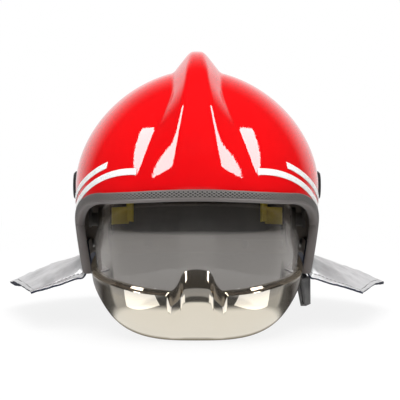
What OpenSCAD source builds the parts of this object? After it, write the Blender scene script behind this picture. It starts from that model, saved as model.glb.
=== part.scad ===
// Fire helmet with a crested shell, a retracting stepped visor and an aluminised neck cape.
// Millimetres. +Z is up and the face looks along -Y.
// The origin lies on the mid-plane, level with the side caps.

/* [Shell] */
// Half width of the shell at its widest
shell_half_w = 125; // [123:1:135]
// Distance from the origin to the brow
shell_front = 154; // [152:1:165]
// Distance from the origin to the back of the shell
shell_back = 142; // [138:1:160]
// Height of the dome over the origin, without the crest
shell_top = 118; // [117:1:130]
// Wall of the moulded shell
shell_wall = 4; // [3:0.5:5]
// Roundness of the dome seen from the front, 2 is an ellipse
dome_power = 1.85; // [1.8:0.05:2.2]
// Roundness of the dome seen from above, 2 is an ellipse
plan_power = 2.5; // [2.3:0.1:2.6]
// Depth of the cheek corners under the origin
cheek_drop = 86; // [80:1:95]
// Depth of the shell edge over the ears
ear_drop = 70; // [64:1:78]
// Extra depth of the shell edge at the nape
nape_drop = 14; // [0:1:25]
// Share by which the shell narrows at cheek depth
skirt_taper = 0.07; // [0:0.01:0.1]

/* [Crest] */
// Height of the crest over the top of the dome
crest_h = 19; // [8:1:24]
// Height of the crest at the brow
crest_brow_h = 8; // [3:1:12]
// Half width of the crest at its foot, on top
crest_half_w = 31; // [24:1:36]
// Half width of the crest at the brow
crest_brow_half_w = 62; // [50:1:70]

/* [Face opening] */
// Height of the shell edge at the middle of the brow
brow_z = -4; // [-8:1:-2]
// Drop of the brow edge from the middle to the corners
brow_dip = 5; // [0:1:8]
// Distance of the jambs from the widest place of the shell
jamb_inset = 8; // [7:0.5:10]
// Lean of the jambs towards the chin
jamb_lean = 6.5; // [5:0.5:9]
// Corner radius of the opening
opening_corner = 29; // [20:1:34]

/* [Edge trims] */
// Rubber on each side of the shell wall
trim_lip = 2.5; // [2:0.1:3]
// Rubber past the edge of the shell
trim_nose = 3; // [2:0.5:4]
// Length of the lips on the shell
trim_grip = 8; // [6:0.5:10]
// Clearance of the trims to the shell
trim_gap = 0.5; // [0.4:0.05:0.6]

/* [Visor] */
// Height of the visor axis over the origin
pivot_z = -38; // [-40:1:-36]
// Distance of the upper pane inside the brow of the shell
visor_brow_room = 12.5; // [12:0.5:14]
// Distance of the upper pane inside the sides of the shell
visor_side_room = 23.5; // [23:0.5:25]
// How far the lower band stands proud in front
step_r = 5.5; // [3:0.5:6]
// How far the lower band stands proud at the sides
step_w = 6; // [4:0.5:6]
// Thickness of the visor
visor_wall = 2.5; // [2:0.1:3]
// Roundness of the visor across its width
visor_power = 3.1; // [2.8:0.1:3.4]
// Angle of the hidden top edge
visor_top_angle = 16; // [15:1:18]
// Angle of the step at the middle
step_angle = -23.5; // [-26:0.5:-22]
// Angle of the lower lip
lip_angle = -48.5; // [-50:0.5:-46]
// Share by which the hidden top edge is narrower
visor_top_taper = 0.06; // [0:0.01:0.07]
// Radius of the ears of the visor round the pins
ear_r = 13; // [11:1:15]

/* [Pivots and caps] */
// Radius of the pivot pins
pin_r = 4; // [3:0.5:5]
// Radial clearance of the visor on its pins
pin_gap = 0.05; // [0.02:0.01:0.08]
// Thickness of the pivot brackets
bracket_t = 3; // [2:0.5:4]
// Radius of the caps on the sides of the shell
cap_r = 15; // [12:1:18]
// Height of the caps over the shell
cap_h = 3.6; // [3:0.2:6]
// Distance of the caps behind the origin
cap_y = 6; // [0:1:10]
// Depth of the caps under the origin
cap_drop = 3; // [0:1:6]

/* [Liner] */
// Distance of the liner inside the sides of the shell
liner_side_room = 35; // [34:1:37]
// Distance of the liner inside the brow of the shell
liner_brow_room = 34; // [32:1:36]
// Distance of the liner inside the back of the shell
liner_back_room = 18; // [14:1:22]
// Distance of the liner under the top of the shell
liner_top_room = 24; // [22:1:26]
// Thickness of the liner
liner_wall = 10; // [9:1:11]

/* [Headband] */
// Room between the headband and the liner at the sides
band_side_room = 3; // [2.5:0.5:5]
// Room between the headband and the liner at the brow
band_end_room = 10; // [9:1:13]
// Thickness of the headband
band_t = 2; // [1.5:0.5:3]
// Height of the headband strip
band_h = 30; // [24:1:34]
// Height of the lower edge of the headband
band_z = -44; // [-48:1:-40]
// Thickness of the brow pad and the nape pad
pad_t = 7; // [5:1:9]
// Radius of the size knob
knob_r = 17; // [14:1:20]
// Thickness of the size knob
knob_h = 9; // [7:1:11]
// Width of the crown webbing
web_w = 18; // [14:1:22]

/* [Chin strap] */
// Width of the chin webbing
strap_w = 19; // [15:1:25]
// Thickness of the chin webbing
strap_t = 2; // [1.5:0.5:3]
// Length of the hanging buckle
buckle_h = 34; // [28:1:40]

/* [Neck cape] */
// Half width of the cape over its hem
cape_half_w = 231; // [215:1:240]
// Distance from the origin to the hem at the back
cape_back = 205; // [190:1:225]
// Depth of the hem under the origin
cape_drop = 118; // [110:1:130]
// Thickness of the cape
cape_t = 2.4; // [1.5:0.1:3]
// Depth of the folds at the hem
cape_fold = 5; // [0:0.5:8]
// Number of folds round the hem
cape_folds = 9; // [5:1:14]

/* [Reflective tape] */
// Width of the tape
tape_w = 6; // [4:0.5:9]
// Thickness of the tape
tape_t = 0.5; // [0.3:0.1:0.8]
// Distance between the two stripes
tape_pitch = 11; // [9:0.5:14]

/* [Hidden] */

fit_gap = 0.3;
round_fn = 32;
red = [0.86, 0.02, 0.03];
rubber_grey = [0.27, 0.26, 0.26];
dark = [0.13, 0.12, 0.11];
black = [0.07, 0.07, 0.08];
silver = [0.78, 0.79, 0.80];
yellow = [0.80, 0.68, 0.10];
gold_tint = [0.60, 0.56, 0.48, 0.6];
white = [0.93, 0.93, 0.92];

// Sizes that follow from the shell
opening_half_w = shell_half_w - jamb_inset;
opening_low_half_w = opening_half_w - jamb_lean;
visor_r = shell_front - visor_brow_room;
visor_half_w = shell_half_w - visor_side_room;
liner_half_w = shell_half_w - liner_side_room;
liner_front = shell_front - liner_brow_room;
liner_back = shell_back - liner_back_room;
liner_top = shell_top - liner_top_room;
band_half_w = liner_half_w - liner_wall - band_side_room;
band_half_l = min(liner_front, liner_back) - liner_wall - band_end_room;

function smooth(t) = let (c = min(max(t, 0), 1)) c * c * (3 - 2 * c);
function signed_pow(v, e) = sign(v) * pow(abs(v), e);
function unit(v) = v / norm(v);
function steps(low, high, count) = [for (i = [0:count]) low + (high - low) * i / count];

// Closed wall between two dome grids. Rings run from the crown down, and azimuth 0 is the
// front, 90 the right-hand side.
module dome_wall(crown_out, outer, crown_in, inner) {
    rings = len(outer);
    cols = len(outer[0]);
    count = rings * cols;
    function at(layer, r, c) = layer * count + r * cols + c % cols;
    points = concat(
        [for (ring = outer) each ring],
        [for (ring = inner) each ring],
        [crown_out, crown_in]);
    faces = [for (c = [0:cols - 1]) each concat(
        [[2 * count, at(0, 0, c + 1), at(0, 0, c)]],
        [[2 * count + 1, at(1, 0, c), at(1, 0, c + 1)]],
        [for (r = [0:rings - 2]) each [
            [at(0, r, c), at(0, r, c + 1), at(0, r + 1, c + 1)],
            [at(0, r, c), at(0, r + 1, c + 1), at(0, r + 1, c)],
            [at(1, r, c), at(1, r + 1, c + 1), at(1, r, c + 1)],
            [at(1, r, c), at(1, r + 1, c), at(1, r + 1, c + 1)]]],
        [[at(0, rings - 1, c), at(0, rings - 1, c + 1), at(1, rings - 1, c + 1)]],
        [[at(0, rings - 1, c), at(1, rings - 1, c + 1), at(1, rings - 1, c)]])];
    polyhedron(points, faces);
}

// Closed sheet between two open grids. Seen from outside, columns run left to right and
// rows run down.
module sheet(outer, inner) {
    rows = len(outer);
    cols = len(outer[0]);
    count = rows * cols;
    function at(layer, r, c) = layer * count + r * cols + c;
    points = concat([for (row = outer) each row], [for (row = inner) each row]);
    faces = concat(
        [for (r = [0:rows - 2]) for (c = [0:cols - 2]) each [
            [at(0, r, c), at(0, r, c + 1), at(0, r + 1, c + 1)],
            [at(0, r, c), at(0, r + 1, c + 1), at(0, r + 1, c)],
            [at(1, r, c), at(1, r + 1, c + 1), at(1, r, c + 1)],
            [at(1, r, c), at(1, r + 1, c), at(1, r + 1, c + 1)]]],
        [for (c = [0:cols - 2]) each [
            [at(0, 0, c + 1), at(0, 0, c), at(1, 0, c)],
            [at(0, 0, c + 1), at(1, 0, c), at(1, 0, c + 1)],
            [at(0, rows - 1, c), at(0, rows - 1, c + 1), at(1, rows - 1, c + 1)],
            [at(0, rows - 1, c), at(1, rows - 1, c + 1), at(1, rows - 1, c)]]],
        [for (r = [0:rows - 2]) each [
            [at(0, r, 0), at(0, r + 1, 0), at(1, r + 1, 0)],
            [at(0, r, 0), at(1, r + 1, 0), at(1, r, 0)],
            [at(0, r + 1, cols - 1), at(0, r, cols - 1), at(1, r, cols - 1)],
            [at(0, r + 1, cols - 1), at(1, r, cols - 1), at(1, r + 1, cols - 1)]]]);
    polyhedron(points, faces);
}

// Closed bar through a list of like sections, each a loop of points
module loft(sections) {
    n = len(sections[0]);
    last = len(sections) - 1;
    faces = concat(
        [[for (i = [0:n - 1]) i]],
        [[for (i = [0:n - 1]) last * n + n - 1 - i]],
        [for (s = [0:last - 1]) for (i = [0:n - 1]) each [
            [s * n + i, (s + 1) * n + i, (s + 1) * n + (i + 1) % n],
            [s * n + i, (s + 1) * n + (i + 1) % n, s * n + (i + 1) % n]]]);
    polyhedron([for (s = sections) each s], faces);
}

// Outline of a superellipse, front and back of their own length
function plan_point(az, half_w, front, back, power) = [
    half_w * signed_pow(sin(az), 2 / power),
    -(cos(az) > 0 ? front : back) * signed_pow(cos(az), 2 / power)];
function egg(half_w, front, back, power, low = 0, high = 355, pitch = 5) =
    [for (az = [low:pitch:high]) plan_point(az, half_w, front, back, power)];

// Surface of the shell. off moves it outwards, along the wall.
crest_axis_z = -30;
crest_shoulder = 1.3;
crest_steep_angle = 60;
crest_fade_start = 100;
crest_fade_end = 172;
crest_full_angle = 85;
crest_foot_angle = 20;
function crest_rise(p, off) =
    let (angle = atan2(p[2] - crest_axis_z, -p[1]))
    let (front_share = 1 - min(max(angle, 0), crest_steep_angle) / crest_steep_angle)
    let (half = crest_half_w + (crest_brow_half_w - crest_half_w) * pow(front_share, 1.5))
    let (fade = 1 - smooth((angle - crest_fade_start) / (crest_fade_end - crest_fade_start)))
    let (high = crest_brow_h + (crest_h - crest_brow_h) * smooth(angle / crest_full_angle))
    let (t = pow(min(abs(p[0]) / (half + off * 0.7), 1), crest_shoulder))
    let (foot = smooth((angle + crest_foot_angle) / crest_foot_angle))
    high * fade * (0.5 + 0.5 * cos(180 * t)) * foot;
function with_crest(p, off) =
    let (angle = atan2(p[2] - crest_axis_z, -p[1]))
    p + crest_rise(p, off) * [0, -cos(angle), sin(angle)];
function narrowing(z) = 1 - skirt_taper * pow(min(z, 0) / cheek_drop, 2);
function ring_share(z, off) =
    z > 0 ? pow(1 - pow(min(z / (shell_top + off), 1), dome_power), 1 / dome_power) : narrowing(z);
function shell_at(az, z, off) =
    let (share = ring_share(z, off))
    let (p = plan_point(az, shell_half_w + off, shell_front + off, shell_back + off, plan_power))
    with_crest([p[0] * share, p[1] * share, z], off);
// Azimuth of a place seen from the front, under the widest level
function front_az(x, z) =
    let (t = min(abs(x) / ((shell_half_w - shell_wall / 2) * narrowing(z)), 1))
    sign(x) * asin(pow(t, plan_power / 2));
// Lower edge of the shell
cheek_back_y = -20;
cheek_front_y = -60;
function rim_z(az) =
    let (y = plan_point(az, shell_half_w, shell_front, shell_back, plan_power)[1])
    let (cheek = smooth((cheek_back_y - y) / (cheek_back_y - cheek_front_y)))
    let (nape = smooth(y / shell_back))
    -ear_drop - (cheek_drop - ear_drop) * cheek - nape_drop * nape;

dome_rows = 13;
skirt_rows = 3;
shell_cols = 64;
function shell_rings(off) = concat(
    [for (i = [1:dome_rows]) let (tau = 90 * (1 - i / dome_rows))
        let (z = (shell_top + off) * pow(sin(tau), 2 / dome_power))
        [for (c = [0:shell_cols - 1]) shell_at(360 * c / shell_cols, z, off)]],
    [for (i = [1:skirt_rows])
        [for (c = [0:shell_cols - 1]) let (az = 360 * c / shell_cols)
            shell_at(az, rim_z(az) * i / skirt_rows, off)]]);

// Edge of the face opening seen from the front, from the left cheek over the brow
corner_x = opening_half_w - opening_corner;
function brow_edge(x) = brow_z - brow_dip * pow(x / corner_x, 2);
jamb_top_z = brow_edge(corner_x) - opening_corner;
function jamb_x(z) = opening_half_w
    - (opening_half_w - opening_low_half_w) * (z - jamb_top_z) / (-cheek_drop - jamb_top_z);
function opening_half(low_z) = concat(
    [for (x = steps(0, corner_x, 10)) [x, brow_edge(x)]],
    [for (a = [9:9:90]) [corner_x + opening_corner * sin(a), jamb_top_z + opening_corner * cos(a)]],
    [for (z = steps(jamb_top_z, low_z, 4)) if (z < jamb_top_z) [jamb_x(z), z]]);
function reversed(list) = [for (i = [len(list) - 1:-1:0]) list[i]];
function whole_opening(low_z) =
    let (half = opening_half(low_z))
    concat([for (p = reversed(half)) [-p[0], p[1]]], [for (i = [1:len(half) - 1]) half[i]]);

// Cutter for the face opening, square to the wall all round its edge
cut_past = 20;
cutter_low_z = -cheek_drop - cut_past;
cutter_out = 25;
cutter_in = 6;
module face_cutter() {
    edge = whole_opening(-cheek_drop);
    path = concat([[-opening_low_half_w, cutter_low_z]], edge, [[opening_low_half_w, cutter_low_z]]);
    function grid(off) = [for (t = [1, 0.75, 0.5, 0.25, 0.04]) [for (p = path)
        let (z = cutter_low_z + (p[1] - cutter_low_z) * t)
        shell_at(front_az(p[0] * t, z), z, off)]];
    sheet(grid(cutter_out), grid(-shell_wall - cutter_in));
}

module shell() {
    bore = cap_stem_r + fit_gap;
    color(red)
    difference() {
        dome_wall(with_crest([0, 0, shell_top], 0), shell_rings(0),
            with_crest([0, 0, shell_top - shell_wall], -shell_wall), shell_rings(-shell_wall));
        face_cutter();
        translate([0, cap_y, -cap_drop])
        rotate([0, 90, 0])
        cylinder(h = 2 * shell_half_w + cut_past, r = bore, center = true, $fn = round_fn);
    }
}

// Rubber channel over an edge of the shell. The path holds azimuths and heights, and each
// section runs along the wall and square to it.
channel_inner_lip = 1.2;
channel_inner_gap = trim_gap + 0.4;
channel_end_gap = 0.6;
function channel(path, i, lip, nose, grip) =
    let (before = path[max(i - 1, 0)])
    let (after = path[min(i + 1, len(path) - 1)])
    let (az = path[i][0])
    let (z = path[i][1])
    let (pitch = norm(shell_at(az + 0.5, z, 0) - shell_at(az - 0.5, z, 0)))
    let (along = unit([(after[0] - before[0]) * pitch, after[1] - before[1]]))
    let (slot = shell_wall / 2 + trim_gap)
    let (face = slot + lip)
    let (inside = shell_wall / 2 + channel_inner_gap)
    let (back = inside + channel_inner_lip)
    [for (s = [[-grip, face - 1], [-grip + 1.5, face], [nose - 2, face], [nose - 0.4, face * 0.6],
        [nose, 0], [nose - 0.4, -back * 0.6], [nose - 1.6, -back], [-grip, -back],
        [-grip, -inside], [channel_end_gap, -inside], [channel_end_gap, slot], [-grip, slot]])
        shell_at(az + along[1] * s[0] / pitch, z - along[0] * s[0], s[1] - shell_wall / 2)];

module brow_trim() {
    low = -cheek_drop - trim_nose + 1;
    path = [for (p = whole_opening(low)) [front_az(p[0], p[1]), p[1]]];
    color(rubber_grey)
    loft([for (i = [0:len(path) - 1]) channel(path, i, trim_lip, trim_nose, trim_grip)]);
}

neck_trim_lip = 1.8;
neck_trim_nose = 2;
neck_trim_start = 80;
module neck_trim() {
    path = [for (az = [neck_trim_start:5:360 - neck_trim_start]) [az, rim_z(az)]];
    color(rubber_grey)
    loft([for (i = [0:len(path) - 1]) channel(path, i, neck_trim_lip, neck_trim_nose, trim_grip)]);
}

// Height of the lower stripe of tape at each azimuth
tape_start = 22.6;
tape_end = 118;
tape_start_z = 20.5;
tape_drop = 53;
tape_bottom_azimuth = 96;
tape_upper_start = tape_start + 18;
tape_gap = 0.25;
function tape_z(az) =
    let (t = min((az - tape_start) / (tape_bottom_azimuth - tape_start), 1))
    tape_start_z - tape_drop * smooth(pow(t, 1.1));
module stripe(start, lift) {
    rows = [tape_w / 2, 0, -tape_w / 2];
    function grid(off) = [for (dz = rows)
        [for (az = steps(start, tape_end, 16)) shell_at(az, tape_z(az) + lift + dz, off)]];
    sheet(grid(tape_gap + tape_t), grid(tape_gap));
}
module tape_side() {
    stripe(tape_start, 0);
    stripe(tape_upper_start, tape_pitch);
}
module tape_right() {
    color(white) tape_side();
}
module tape_left() {
    color(white) mirror([1, 0, 0]) tape_side();
}

// Cap on the side of the shell, with the stem that carries the pivot bracket
cap_stem_r = 6;
cap_seat_x = shell_half_w + 0.4;
cap_rim = 2;
bracket_room = 15;
bracket_x = shell_half_w - bracket_room;
bracket_rim = 4.5;
module cap_profile() {
    stem = cap_seat_x - bracket_x - bracket_t;
    polygon([[0, -stem], [cap_stem_r, -stem], [cap_stem_r, 0], [cap_r, 0],
        [cap_r, cap_h - cap_rim], [cap_r - cap_rim, cap_h], [cap_r - 4, cap_h],
        [cap_r - 5, cap_h - 1], [0, cap_h - 1]]);
}
module side_cap() {
    translate([cap_seat_x, cap_y, -cap_drop])
    rotate([0, 90, 0])
    difference() {
        rotate_extrude($fn = round_fn) cap_profile();
        translate([0, 0, cap_h - 3])
        cylinder(h = 4, r = 3, $fn = 6);
    }
}
module side_cap_right() {
    color(black) side_cap();
}
module side_cap_left() {
    color(black) mirror([1, 0, 0]) side_cap();
}

// Plate under the cap with the pin that the visor turns on
ear_in_x = visor_half_w - 3;
ear_out_x = visor_half_w + 1.5;
module bracket() {
    translate([bracket_x, 0, 0]) {
        rotate([0, 90, 0])
        linear_extrude(bracket_t)
        hull() {
            translate([cap_drop, cap_y]) circle(cap_stem_r + bracket_rim, $fn = 32);
            translate([-pivot_z, 0]) circle(pin_r + bracket_rim, $fn = 32);
        }
        translate([0, 0, pivot_z])
        rotate([0, -90, 0])
        cylinder(h = bracket_x - ear_in_x + 1, r = pin_r, $fn = round_fn);
        translate([0, 0, pivot_z])
        rotate([0, -90, 0])
        cylinder(h = bracket_x - ear_out_x - fit_gap, r = pin_r + 3, $fn = round_fn);
    }
}
module pivot_bracket_right() {
    color(dark) bracket();
}
module pivot_bracket_left() {
    color(dark) mirror([1, 0, 0]) bracket();
}

// Visor: a surface turned about the pivot axis. q is the share of the half width.
nose_top = [[0, 9.7], [11, 8.6], [15, 6.6], [17, 4.2], [24, 0]];
nose_foot = [[0, 4.6], [9, 4.0], [12, 2.6], [14.5, 0.2], [20, -3.5], [25, -5], [28, 0]];
shelf_drop = 1.2;
step_fall = 22;
step_fall_reach = 0.57;
step_lip_room = 2.5;
proud_from = 0.27;
proud_over = 0.15;
taper_over = 0.6;
side_col_low = 89.4;
side_col_span = 71;
side_col_ease = 1.5;
side_cols = 14;
nose_reach = 33;
nose_pitch = 3;
visor_rows = 4;
function reach(q) = pow(max(1 - pow(abs(q), visor_power), 0), 1 / visor_power);
function step_line(q) =
    max(step_angle - step_fall * pow((1 - reach(q)) / step_fall_reach, 2), lip_angle + step_lip_room);
function upper_line(q) = step_line(q) + lookup(abs(q) * visor_half_w, nose_top);
function lower_line(q) = min(step_line(q) + lookup(abs(q) * visor_half_w, nose_foot),
    upper_line(q)) - shelf_drop;
function proud(q) = smooth((reach(q) - proud_from) / proud_over);
function visor_at(q, angle, share, off) =
    let (k = share * proud(q))
    let (taper = visor_top_taper * smooth(angle / visor_top_angle) * smooth(reach(q) / taper_over))
    let (x = q * (1 - taper) * (visor_half_w + k * step_w + off))
    let (r = reach(q) * (visor_r + k * step_r + off))
    [x, -r * cos(angle), pivot_z + r * sin(angle)];
function side_col(t) = sin(side_col_low - side_col_span * pow(t, side_col_ease));
visor_cols = concat(
    [for (t = steps(0, 1, side_cols)) if (t < 1) -side_col(t)],
    [for (x = [-nose_reach + nose_pitch:nose_pitch:nose_reach - nose_pitch]) x / visor_half_w],
    [for (t = steps(1, 0, side_cols)) if (t < 1) side_col(t)]);
function visor_grid(off) = concat(
    [for (t = steps(0, 1, visor_rows)) [for (q = visor_cols)
        visor_at(q, visor_top_angle + (upper_line(q) - visor_top_angle) * t, 0, off)]],
    [for (t = steps(0, 1, visor_rows)) [for (q = visor_cols)
        visor_at(q, lower_line(q) + (lip_angle - lower_line(q)) * t, 1, off)]]);
module visor() {
    color(gold_tint)
    difference() {
        union() {
            sheet(visor_grid(0), visor_grid(-visor_wall));
            for (side = [-1, 1])
                translate([side * ear_in_x, 0, pivot_z])
                rotate([0, side * 90, 0])
                cylinder(h = ear_out_x - ear_in_x, r = ear_r, $fn = round_fn);
        }
        translate([0, 0, pivot_z])
        rotate([0, 90, 0])
        cylinder(h = 3 * visor_half_w, r = pin_r + pin_gap, center = true, $fn = round_fn);
    }
}

// Impact liner: a thick foam cap between the visor and the head
liner_power = 2.2;
liner_front_z = -6;
liner_side_z = -34;
liner_cols = 36;
liner_rows = 7;
ear_flap_start = 50;
ear_flap_rise = 38;
ear_flap_end = 114;
ear_flap_fall = 26;
function liner_rim(az) =
    let (turn = az > 180 ? 360 - az : az)
    let (start = smooth((turn - ear_flap_start) / ear_flap_rise))
    let (side = start * (1 - smooth((turn - ear_flap_end) / ear_flap_fall)))
    liner_front_z + (liner_side_z - liner_front_z) * side;
function cap_at(az, z, half_w, front, back, top) =
    let (share = z > 0 ? pow(1 - pow(min(z / top, 1), liner_power), 1 / liner_power) : 1)
    let (p = plan_point(az, half_w, front, back, liner_power))
    [p[0] * share, p[1] * share, z];
function liner_rings(off) = concat(
    [for (i = [1:liner_rows]) let (z = (liner_top + off) * sin(90 * (1 - i / liner_rows)))
        [for (c = [0:liner_cols - 1]) cap_at(360 * c / liner_cols, z,
            liner_half_w + off, liner_front + off, liner_back + off, liner_top + off)]],
    [[for (c = [0:liner_cols - 1]) let (az = 360 * c / liner_cols)
        cap_at(az, liner_rim(az), liner_half_w + off, liner_front + off, liner_back + off,
            liner_top + off)]]);
// Boss on the liner that bears on the shell behind the raised visor
boss_low = 6;
boss_high = 42;
boss_root = 3;
module liner_boss(low, high) {
    function liner_skin(az, z) = cap_at(az, z, liner_half_w - boss_root, liner_front - boss_root,
        liner_back - boss_root, liner_top - boss_root);
    heights = steps(boss_high, boss_low, 3);
    turns = steps(low, high, 3);
    sheet(
        [for (z = heights) [for (az = turns) shell_at(az, z, -shell_wall - boss_gap)]],
        [for (z = heights) [for (az = turns) liner_skin(az, z)]]);
}
boss_gap = 0.6;
boss_sides = [112, 124];
boss_backs = [152, 166];
module impact_liner() {
    color(dark)
    union() {
        dome_wall([0, 0, liner_top], liner_rings(0),
            [0, 0, liner_top - liner_wall], liner_rings(-liner_wall));
        for (span = [boss_sides, boss_backs]) {
            liner_boss(span[0], span[1]);
            liner_boss(360 - span[1], 360 - span[0]);
        }
    }
}

// Soft pad inside the crown of the liner
crown_pad_t = 5;
crown_pad_rows = 5;
crown_pad_spread = 48;
pad_seat = liner_wall + 0.8;
function pad_rings(off) = [for (i = [1:crown_pad_rows])
    let (top = liner_top + off)
    let (z = top * cos(crown_pad_spread * i / crown_pad_rows))
    [for (c = [0:liner_cols - 1]) cap_at(360 * c / liner_cols, z,
        liner_half_w + off, liner_front + off, liner_back + off, top)]];
module crown_pad() {
    color(black)
    dome_wall([0, 0, liner_top - pad_seat], pad_rings(-pad_seat),
        [0, 0, liner_top - pad_seat - crown_pad_t], pad_rings(-pad_seat - crown_pad_t));
}

// Headband and what hangs on it
band_power = 2.4;
band_top = band_z + band_h;
module band_ring(outside, inside, low, high) {
    translate([0, 0, low])
    linear_extrude(high - low)
    difference() {
        polygon(egg(band_half_w + outside, band_half_l + outside, band_half_l + outside, band_power));
        polygon(egg(band_half_w + inside, band_half_l + inside, band_half_l + inside, band_power));
    }
}
module headband() {
    color(black)
    band_ring(0, -band_t, band_z, band_top);
}
module band_pad(spread, low, high, back) {
    intersection() {
        band_ring(-band_t - fit_gap, -band_t - fit_gap - pad_t, low, high);
        rotate([0, 0, back ? 180 : 0])
        translate([-spread, -band_half_l - pad_t, low - 1])
        cube([2 * spread, band_half_l, high - low + 2]);
    }
}
brow_pad_inset = 11;
nape_pad_inset = 29;
module brow_pad() {
    color(dark) band_pad(band_half_w - brow_pad_inset, band_z + 1, band_top - 1, false);
}
module nape_pad() {
    color(dark) band_pad(band_half_w - nape_pad_inset, band_z + 2, band_top - 4, true);
}

// Webbing that crosses over the head, hooked on the hangers
web_t = 1.5;
web_end_z = band_top + 2;
web_head_room = 7;
web_top = liner_top - liner_wall - crown_pad_t - web_head_room;
front_hanger_az = 56;
rear_hanger_az = 180 - front_hanger_az;
hook = plan_point(front_hanger_az, band_half_w, band_half_l, band_half_l, band_power);
function band_way(p) = atan2(
    signed_pow(p[1] / band_half_l, band_power - 1) / band_half_l,
    signed_pow(p[0] / band_half_w, band_power - 1) / band_half_w);
hook_skew = atan2(hook[1], hook[0]) - band_way(hook);
hanger_w = 14;
hanger_neck_w = 10;
web_half_span = norm(hook) - abs(sin(hook_skew)) * hanger_neck_w / 2 - 0.1;
module web_loop() {
    function arc(off) = [for (a = [0:10:180]) [
        (web_half_span + off) * cos(a), web_end_z + (web_top + off - web_end_z) * sin(a)]];
    rotate([90, 0, 0])
    linear_extrude(web_w, center = true)
    polygon(concat(arc(0), reversed(arc(-web_t))));
}
module crown_webbing() {
    turn = atan2(hook[1], hook[0]);
    color(black) {
        rotate([0, 0, turn]) web_loop();
        rotate([0, 0, -turn]) web_loop();
    }
}

// Hanger clips between the headband and the liner
hanger_t = 1.8;
hanger_drop = 20;
hanger_top_z = -1;
clip_w = 5;
clip_h = 4;
clip_gap = 0.4;
// Tab on each front hanger, for pulling the headband forward
tab_w = 18;
tab_t = 2;
tab_h = 17;
tab_top_z = -20;
// Distance from a place on the headband to the inside of the liner, found by steps
function liner_room(p, way, length, d, more) =
    let (q = p + way * d)
    let (fill = pow(abs(q[0]) / (liner_half_w - liner_wall), liner_power)
        + pow(abs(q[1]) / length, liner_power))
    let (miss = norm(q) * (pow(fill, -1 / liner_power) - 1))
    more == 0 ? d : liner_room(p, way, length, d + miss * (unit(q) * way), more - 1);
module hanger(az) {
    p = plan_point(az, band_half_w, band_half_l, band_half_l, band_power);
    liner_length = (p[1] > 0 ? liner_back : liner_front) - liner_wall;
    turn = band_way(p);
    room = liner_room(p, [cos(turn), sin(turn)], liner_length, 0, 3);
    translate([p[0], p[1], 0])
    rotate([0, 0, turn]) {
        translate([fit_gap, -hanger_w / 2, band_top - hanger_drop])
        cube([hanger_t, hanger_w, hanger_drop]);
        translate([fit_gap, -hanger_neck_w / 2, band_top - 1])
        cube([hanger_t, hanger_neck_w, hanger_top_z - band_top + 1]);
        translate([fit_gap, -clip_w / 2, hanger_top_z - clip_h])
        cube([room - fit_gap - clip_gap, clip_w, clip_h]);
    }
}
module front_hanger() {
    hanger(front_hanger_az);
    translate([hook[0], hook[1], 0])
    rotate([0, 0, band_way(hook)])
    translate([fit_gap, hanger_w / 2 - tab_t, tab_top_z - tab_h])
    cube([tab_w, tab_t, tab_h]);
}
module front_hanger_right() {
    color(yellow) front_hanger();
}
module front_hanger_left() {
    color(yellow) mirror([1, 0, 0]) front_hanger();
}
module rear_hanger_right() {
    color(yellow) hanger(rear_hanger_az);
}
module rear_hanger_left() {
    color(yellow) mirror([1, 0, 0]) hanger(rear_hanger_az);
}

// Size ratchet at the nape
ratchet_z = band_z + band_h / 2;
housing_t = 6;
housing_reach = 24;
housing_end_r = 11;
grip_r = 3;
grip_out = 1.6;
housing_y = band_half_l + fit_gap;
knob_bore_gap = 0.05;
shaft_r = 4;
module ratchet_housing() {
    color(black)
    translate([0, housing_y, ratchet_z])
    rotate([-90, 0, 0]) {
        linear_extrude(housing_t)
        hull() {
            for (x = [-housing_reach, housing_reach]) translate([x, 0]) circle(housing_end_r, $fn = 32);
            circle(knob_r - 1, $fn = 32);
        }
        translate([0, 0, housing_t])
        cylinder(h = knob_h - 2, r = shaft_r, $fn = round_fn);
    }
}
module ratchet_knob() {
    color(dark)
    translate([0, housing_y + housing_t + fit_gap, ratchet_z])
    rotate([-90, 0, 0])
    difference() {
        cylinder(h = knob_h, r = knob_r, $fn = round_fn);
        translate([0, 0, -1])
        cylinder(h = knob_h - 1, r = shaft_r + knob_bore_gap, $fn = round_fn);
        for (a = [0:30:330])
            rotate([0, 0, a])
            translate([knob_r + grip_out, 0, 2])
            cylinder(h = knob_h, r = grip_r, $fn = 12);
    }
}

// Chin strap: a webbing tail on each side, hanging open
anchor_y = 34;
anchor_z = -26;
anchor_t = 3;
anchor_r = 10;
anchor_low = 24;
anchor_end_r = 8;
anchor_x = liner_half_w * pow(1 - pow((anchor_y - anchor_r) / liner_back, liner_power), 1 / liner_power)
    + fit_gap;
module anchor() {
    translate([anchor_x, anchor_y, anchor_z])
    rotate([0, 90, 0])
    linear_extrude(anchor_t)
    hull() {
        circle(anchor_r, $fn = 32);
        translate([anchor_low, -anchor_end_r]) circle(anchor_end_r, $fn = 32);
    }
}
module strap_anchor_right() {
    color(dark) anchor();
}
module strap_anchor_left() {
    color(dark) mirror([1, 0, 0]) anchor();
}
// A strip of webbing through a list of points, its width along Y
module webbing(points, width, thick) {
    last = len(points) - 1;
    function side(i) =
        let (along = unit(points[min(i + 1, last)] - points[max(i - 1, 0)]))
        unit(cross(along, [0, 1, 0]));
    loft([for (i = [0:last])
        let (n = side(i) * thick / 2)
        [points[i] + n - [0, width / 2, 0], points[i] - n - [0, width / 2, 0],
            points[i] - n + [0, width / 2, 0], points[i] + n + [0, width / 2, 0]]]);
}
strap_x = anchor_x + anchor_t + fit_gap + strap_t / 2;
strap_top = [strap_x, anchor_y - anchor_end_r, anchor_z - anchor_low];
strap_tuck = 6;
strap_end_gap = 0.5;
socket_out = 12;
socket_forward = 56;
socket_down = 43;
plug_in = 12;
plug_forward = 44;
plug_down = 50.5;
socket_top = strap_top + [socket_out, -socket_forward, -socket_down];
plug_top = strap_top + [-plug_in, -plug_forward, -plug_down];
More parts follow.
